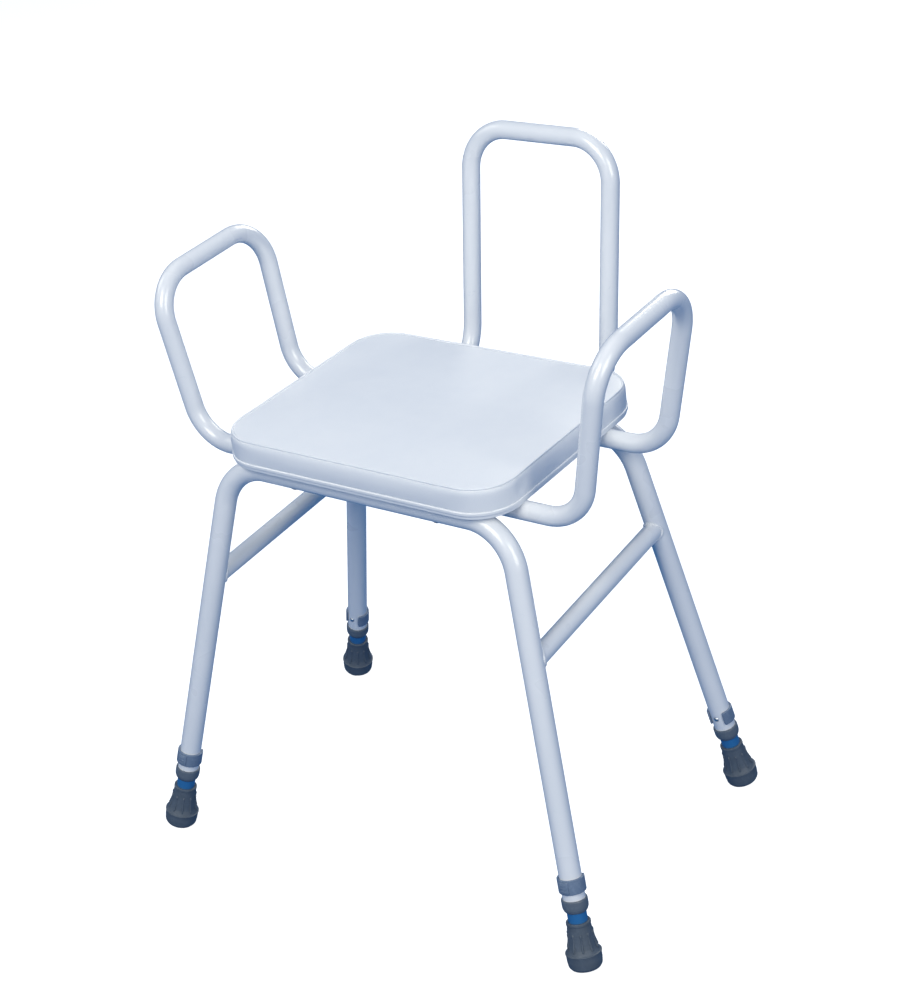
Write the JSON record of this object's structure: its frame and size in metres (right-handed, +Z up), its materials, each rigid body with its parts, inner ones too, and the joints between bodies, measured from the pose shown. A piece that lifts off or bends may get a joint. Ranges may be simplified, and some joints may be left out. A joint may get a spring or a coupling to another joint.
{
  "type": "shower stool",
  "caption": "Free-standing shower stool with a padded seat, two tubular arm loops, a tubular back and height-adjustable splayed legs with pinned clips.",
  "frame": {"origin": "on the floor, under the middle of the whole stool's box with the legs fully in", "axes": "+Z up, the front of the seat faces -Y, +X is a sitter's left"},
  "size_m": [0.6266, 0.5345, 0.766],
  "materials": {
    "white_enamel": "gloss white coat on steel tube",
    "white_vinyl": "satin white vinyl upholstery",
    "seat_foam": "open-cell foam",
    "plywood": "birch plywood",
    "edge_trim": "soft white edge trim",
    "clip_plastic": "grey-blue moulded plastic",
    "collar_plastic": "dark grey moulded plastic",
    "ferrule_rubber": "dark grey moulded rubber",
    "slider_steel": "blue coat on steel tube",
    "zinc_steel": "zinc-plated steel"
  },
  "bodies": {
    "root": {"front_leg_frame": "white_enamel", "rear_leg_frame": "white_enamel", "side_brace_left": "white_enamel", "side_brace_right": "white_enamel", "arm_left": "white_enamel", "arm_right": "white_enamel", "back_loop": "white_enamel", "tube_plugs": "collar_plastic", "seat_board": "plywood", "seat_foam": "seat_foam", "seat_cover": "white_vinyl", "seat_welt": "white_vinyl", "seat_edge_trim": "edge_trim", "seat_bolts": "zinc_steel", "back_bolts": "zinc_steel", "tee_nuts": "zinc_steel", "back_spacers": "collar_plastic", "leg_collar_front_left": "collar_plastic", "leg_collar_front_right": "collar_plastic", "leg_collar_rear_left": "collar_plastic", "leg_collar_rear_right": "collar_plastic"},
    "leg_front_left": {"leg_tube_front_left": "slider_steel", "ferrule_front_left": "ferrule_rubber", "ferrule_disc_front_left": "zinc_steel"},
    "clip_front_left": {"leg_clip_front_left": "clip_plastic", "clip_pin_front_left": "zinc_steel"},
    "leg_front_right": {"leg_tube_front_right": "slider_steel", "ferrule_front_right": "ferrule_rubber", "ferrule_disc_front_right": "zinc_steel"},
    "clip_front_right": {"leg_clip_front_right": "clip_plastic", "clip_pin_front_right": "zinc_steel"},
    "leg_rear_left": {"leg_tube_rear_left": "slider_steel", "ferrule_rear_left": "ferrule_rubber", "ferrule_disc_rear_left": "zinc_steel"},
    "clip_rear_left": {"leg_clip_rear_left": "clip_plastic", "clip_pin_rear_left": "zinc_steel"},
    "leg_rear_right": {"leg_tube_rear_right": "slider_steel", "ferrule_rear_right": "ferrule_rubber", "ferrule_disc_rear_right": "zinc_steel"},
    "clip_rear_right": {"leg_clip_rear_right": "clip_plastic", "clip_pin_rear_right": "zinc_steel"}
  },
  "joints": [
    {"name": "leg_extension_front_left", "type": "slide", "parent": "root", "child": "leg_front_left", "axis": [0.2115, -0.1874, -0.9592], "range_m": [0, 0.15]},
    {"name": "clip_pull_front_left", "type": "slide", "parent": "root", "child": "clip_front_left", "axis": [-0.0404, -0.9823, 0.183], "range_m": [0, 0.045], "deforming": ["leg_clip_front_left"]},
    {"name": "leg_extension_front_right", "type": "slide", "parent": "root", "child": "leg_front_right", "axis": [-0.2115, -0.1874, -0.9592], "range_m": [0, 0.15]},
    {"name": "clip_pull_front_right", "type": "slide", "parent": "root", "child": "clip_front_right", "axis": [0.0404, -0.9823, 0.183], "range_m": [0, 0.045], "deforming": ["leg_clip_front_right"]},
    {"name": "leg_extension_rear_left", "type": "slide", "parent": "root", "child": "leg_rear_left", "axis": [0.2145, 0.0866, -0.9729], "range_m": [0, 0.15]},
    {"name": "clip_pull_rear_left", "type": "slide", "parent": "root", "child": "clip_rear_left", "axis": [-0.0186, 0.9962, 0.0846], "range_m": [0, 0.045], "deforming": ["leg_clip_rear_left"]},
    {"name": "leg_extension_rear_right", "type": "slide", "parent": "root", "child": "leg_rear_right", "axis": [-0.2145, 0.0866, -0.9729], "range_m": [0, 0.15]},
    {"name": "clip_pull_rear_right", "type": "slide", "parent": "root", "child": "clip_rear_right", "axis": [0.0186, 0.9962, 0.0846], "range_m": [0, 0.045], "deforming": ["leg_clip_rear_right"]}
  ]
}
